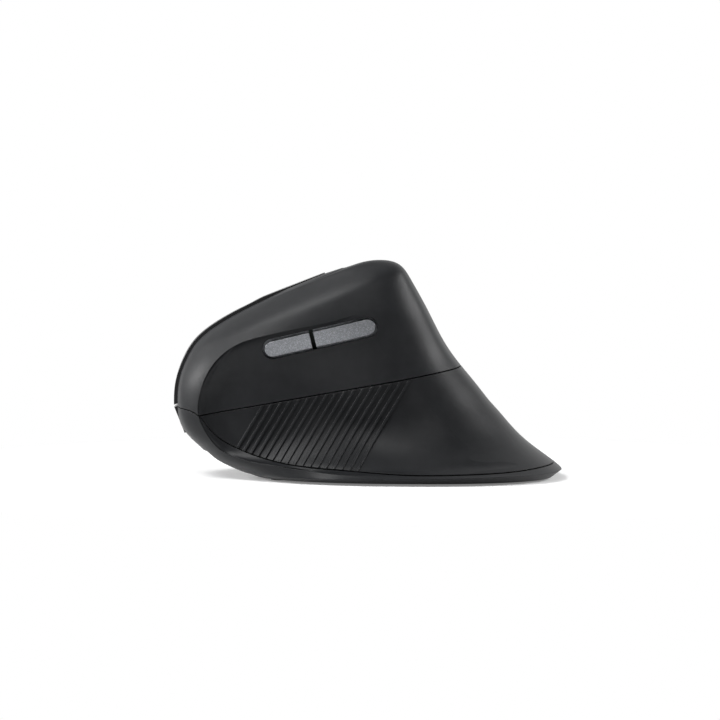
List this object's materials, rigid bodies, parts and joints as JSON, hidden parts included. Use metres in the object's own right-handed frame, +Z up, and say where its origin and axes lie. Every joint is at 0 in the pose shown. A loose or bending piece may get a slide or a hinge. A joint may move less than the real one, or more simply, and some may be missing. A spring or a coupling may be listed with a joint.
{
  "type": "vertical computer mouse",
  "caption": "Upright right-handed computer mouse with a saddle-shaped shell, a ribbed thumb scoop with side buttons, click plates on the finger side and a scroll wheel.",
  "frame": {"origin": "on the desk under the middle of the whole body", "axes": "+X from the nose to the wrist, +Y from the thumb side to the finger side, +Z up"},
  "size_m": [0.1201, 0.0777, 0.0675],
  "materials": {
    "body_plastic": "fine-textured soft-touch black",
    "side_plastic": "fine-textured black with moulded ribs",
    "base_plastic": "satin black",
    "gloss_black": "polished black",
    "metallic_grey": "metallic grey paint, satin",
    "inner_plastic": "natural black moulding",
    "wheel_rubber": "moulded rubber",
    "wheel_plastic": "satin grey",
    "board_laminate": "green solder mask",
    "switch_case": "black moulding",
    "switch_metal": "tinned",
    "white_plastic": "natural white moulding",
    "steel": "turned",
    "port_steel": "drawn",
    "port_insert": "black moulding",
    "clear_plastic": "clear moulding",
    "lamp_resin": "yellow resin",
    "lead_red": "red sheath",
    "lead_grey": "grey sheath",
    "cell_wrap": "grey film over a pouch",
    "glide_plastic": "smooth low-friction film"
  },
  "bodies": {
    "root": {"upper_shell": "body_plastic", "side_shell": "side_plastic", "base_shell": "base_plastic", "button_carrier": "inner_plastic", "left_hinge_pin": "steel", "right_hinge_pin": "steel", "left_click_switch": "switch_case", "right_click_switch": "switch_case", "cradle_pin": "steel", "button_board": "board_laminate", "wheel_press_switch": "switch_metal", "resolution_switch": "switch_metal", "light_pipe": "clear_plastic", "indicator_lamp": "lamp_resin", "front_thumb_switch": "switch_metal", "rear_thumb_switch": "switch_metal", "thumb_board": "board_laminate", "main_board": "board_laminate", "processor": "switch_case", "clock_crystal": "switch_metal", "button_lead_plug": "white_plastic", "thumb_lead_plug": "white_plastic", "battery_plug": "white_plastic", "button_board_lead": "lead_grey", "thumb_board_lead": "lead_grey", "battery_lead": "lead_red", "battery": "cell_wrap", "charging_port": "port_steel", "port_tongue": "port_insert", "motion_sensor": "switch_case", "sensor_lens": "clear_plastic", "power_switch": "switch_case", "pair_switch": "switch_metal", "front_glide": "glide_plastic", "rear_glide": "glide_plastic", "board_screws": "steel", "case_screws": "steel"},
    "left_button": {"left_button": "gloss_black", "left_switch_plunger": "white_plastic"},
    "right_button": {"right_button": "gloss_black", "right_switch_plunger": "white_plastic"},
    "wheel_cradle": {"wheel_cradle": "inner_plastic", "wheel_encoder": "switch_case", "wheel_press_stem": "white_plastic"},
    "wheel": {"wheel_tyre": "wheel_rubber", "wheel_hub": "wheel_plastic"},
    "front_thumb_button": {"front_thumb_button": "metallic_grey", "front_thumb_stem": "white_plastic"},
    "rear_thumb_button": {"rear_thumb_button": "metallic_grey", "rear_thumb_stem": "white_plastic"},
    "resolution_button": {"resolution_button": "gloss_black", "resolution_stem": "white_plastic"},
    "power_slider": {"power_slider": "inner_plastic"},
    "pair_button": {"pair_button": "inner_plastic", "pair_stem": "white_plastic"}
  },
  "joints": [
    {"name": "left_click", "type": "hinge", "parent": "root", "child": "left_button", "pos_m": [-0.01014, 0.01704, 0.03936], "axis": [-0.2193, -0.5212, 0.8248], "range_deg": [0, 0.8], "stiffness_Nm_per_rad": 0.6, "springref_deg": -0.86},
    {"name": "right_click", "type": "hinge", "parent": "root", "child": "right_button", "pos_m": [-0.00738, 0.02333, 0.02903], "axis": [-0.2193, -0.5212, 0.8248], "range_deg": [0, 0.8], "stiffness_Nm_per_rad": 0.6, "springref_deg": -0.86},
    {"name": "wheel_press", "type": "hinge", "parent": "root", "child": "wheel_cradle", "pos_m": [-0.01633, 0.019, 0.03143], "axis": [-0.2193, -0.5212, 0.8248], "range_deg": [0, 0.95], "stiffness_Nm_per_rad": 0.8, "springref_deg": -1.15},
    {"name": "wheel_spin", "type": "hinge", "parent": "wheel_cradle", "child": "wheel", "pos_m": [-0.02999, 0.01775, 0.02701], "axis": [-0.2193, -0.5212, 0.8248], "continuous": true},
    {"name": "front_thumb_press", "type": "slide", "parent": "root", "child": "front_thumb_button", "axis": [0, 1, 0], "range_m": [0, 0.0005], "stiffness_N_per_m": 400, "springref_m": -0.0015},
    {"name": "rear_thumb_press", "type": "slide", "parent": "root", "child": "rear_thumb_button", "axis": [0, 1, 0], "range_m": [0, 0.0005], "stiffness_N_per_m": 400, "springref_m": -0.0015},
    {"name": "resolution_press", "type": "slide", "parent": "root", "child": "resolution_button", "axis": [0.1988, -0.8515, -0.4852], "range_m": [0, 0.0004], "stiffness_N_per_m": 400, "springref_m": -0.0015},
    {"name": "power_slide", "type": "slide", "parent": "root", "child": "power_slider", "axis": [1, 0, 0], "range_m": [0, 0.0025]},
    {"name": "pair_press", "type": "slide", "parent": "root", "child": "pair_button", "axis": [0, 0, 1], "range_m": [0, 0.00025], "stiffness_N_per_m": 400, "springref_m": -0.001}
  ]
}
